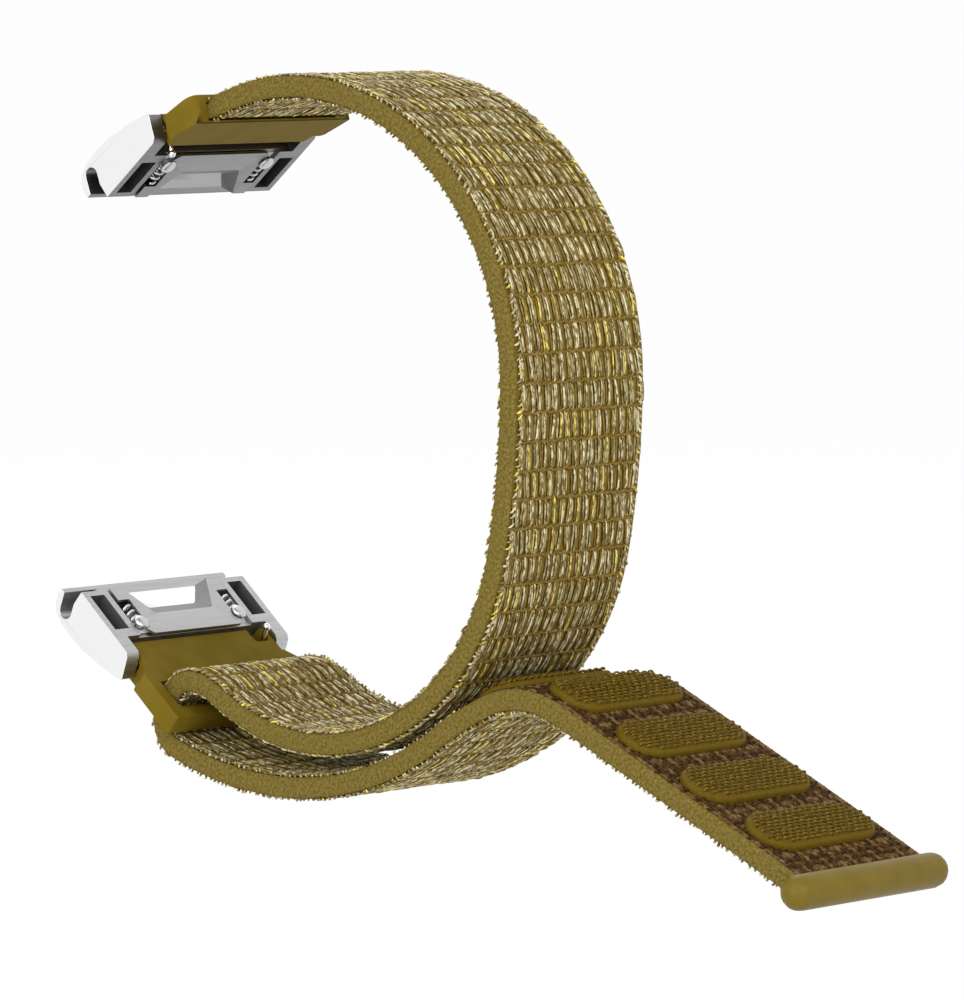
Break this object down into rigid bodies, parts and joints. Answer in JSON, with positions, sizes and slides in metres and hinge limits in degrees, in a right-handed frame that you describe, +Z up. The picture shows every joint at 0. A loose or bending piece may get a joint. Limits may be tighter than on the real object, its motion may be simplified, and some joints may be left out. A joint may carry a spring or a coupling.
{
  "type": "watch strap",
  "caption": "Woven nylon hook-and-loop watch strap in a loop with a free tail, a moulded end cap and sprung quick-release steel connectors.",
  "frame": {"origin": "on the wrist axis, at the middle of the loop and of the band's width", "axes": "+Y along the wrist axis and across the band, +Z up through the crown of the loop, +X from the connectors towards the free tail"},
  "size_m": [0.1084, 0.026, 0.0841],
  "materials": {
    "band": "woven nylon with khaki, straw and pale loops over an olive ground",
    "hook_pad": "olive hook tape with fine rows of moulded hooks",
    "moulding": "satin olive moulded plastic",
    "polished_steel": "polished stainless steel",
    "satin_steel": "satin stainless steel"
  },
  "bodies": {
    "strap_base": {"strap_lower": "band"},
    "strap_top": {"strap_upper": "band", "top_adapter": "moulding", "top_spring_bar_tube": "satin_steel", "top_fixed_pin": "polished_steel", "top_pin_spring": "satin_steel"},
    "top_release": {"top_release_pin": "polished_steel"},
    "top_connector": {"top_connector_body": "polished_steel", "top_latch_spring_near": "polished_steel", "top_latch_spring_far": "polished_steel", "top_latch_rivet_near": "polished_steel", "top_latch_rivet_far": "polished_steel"},
    "top_latch": {"top_latch_plate": "satin_steel"},
    "bottom_swivel": {"bottom_adapter": "moulding", "bottom_spring_bar_tube": "satin_steel", "bottom_fixed_pin": "polished_steel", "bottom_pin_spring": "satin_steel"},
    "bottom_release": {"bottom_release_pin": "polished_steel"},
    "bottom_connector": {"bottom_connector_body": "polished_steel", "bottom_latch_spring_near": "polished_steel", "bottom_latch_spring_far": "polished_steel", "bottom_latch_rivet_near": "polished_steel", "bottom_latch_rivet_far": "polished_steel"},
    "bottom_latch": {"bottom_latch_plate": "satin_steel"},
    "tail_root": {"strap_tail_root": "band", "hook_pad_0": "hook_pad"},
    "tail_middle": {"strap_tail_middle": "band", "hook_pad_1": "hook_pad", "hook_pad_2": "hook_pad"},
    "tail_end": {"strap_tail_end": "band", "hook_pad_3": "hook_pad", "hook_pad_4": "hook_pad", "end_cap": "moulding"}
  },
  "joints": [
    {"name": "loop_flex", "type": "hinge", "parent": "strap_base", "child": "strap_top", "pos_m": [0.03043, 0, 0.00448], "axis": [0, 1, 0], "range_deg": [-10, 25], "stiffness_Nm_per_rad": 0.2},
    {"name": "top_connector_hinge", "type": "hinge", "parent": "strap_top", "child": "top_connector", "pos_m": [-0.02103, 0, 0.03068], "axis": [0, 1, 0], "range_deg": [-10, 20]},
    {"name": "top_latch_slide", "type": "slide", "parent": "top_connector", "child": "top_latch", "axis": [0.7615, 0, 0.6481], "range_m": [0, 0.0017], "stiffness_N_per_m": 300, "springref_m": -0.002, "deforming": ["top_latch_spring_near", "top_latch_spring_far"]},
    {"name": "top_release_slide", "type": "slide", "parent": "strap_top", "child": "top_release", "axis": [0, 1, 0], "range_m": [0, 0.001], "stiffness_N_per_m": 400, "springref_m": -0.001, "deforming": ["top_pin_spring"]},
    {"name": "bottom_adapter_swing", "type": "hinge", "parent": "strap_base", "child": "bottom_swivel", "pos_m": [-0.0182, 0, -0.03488], "axis": [0, -1, 0], "range_deg": [-10, 10]},
    {"name": "bottom_connector_hinge", "type": "hinge", "parent": "bottom_swivel", "child": "bottom_connector", "pos_m": [-0.02533, 0, -0.02931], "axis": [0, -1, 0], "range_deg": [-18, 11]},
    {"name": "bottom_latch_slide", "type": "slide", "parent": "bottom_connector", "child": "bottom_latch", "axis": [0.7581, 0, -0.6521], "range_m": [0, 0.0017], "stiffness_N_per_m": 300, "springref_m": -0.002, "deforming": ["bottom_latch_spring_near", "bottom_latch_spring_far"]},
    {"name": "bottom_release_slide", "type": "slide", "parent": "bottom_swivel", "child": "bottom_release", "axis": [0, -1, 0], "range_m": [0, 0.001], "stiffness_N_per_m": 400, "springref_m": -0.001, "deforming": ["bottom_pin_spring"]},
    {"name": "tail_flex", "type": "hinge", "parent": "strap_base", "child": "tail_root", "pos_m": [0.01972, 0, -0.03418], "axis": [0, -1, 0], "range_deg": [-35, 10], "stiffness_Nm_per_rad": 0.1},
    {"name": "crest_flex", "type": "hinge", "parent": "tail_root", "child": "tail_middle", "pos_m": [0.03234, 0, -0.0287], "axis": [0, -1, 0], "range_deg": [-50, 75], "stiffness_Nm_per_rad": 0.05},
    {"name": "middle_flex", "type": "hinge", "parent": "tail_middle", "child": "tail_end", "pos_m": [0.04991, 0, -0.03548], "axis": [0, -1, 0], "range_deg": [-40, 30], "stiffness_Nm_per_rad": 0.03}
  ]
}
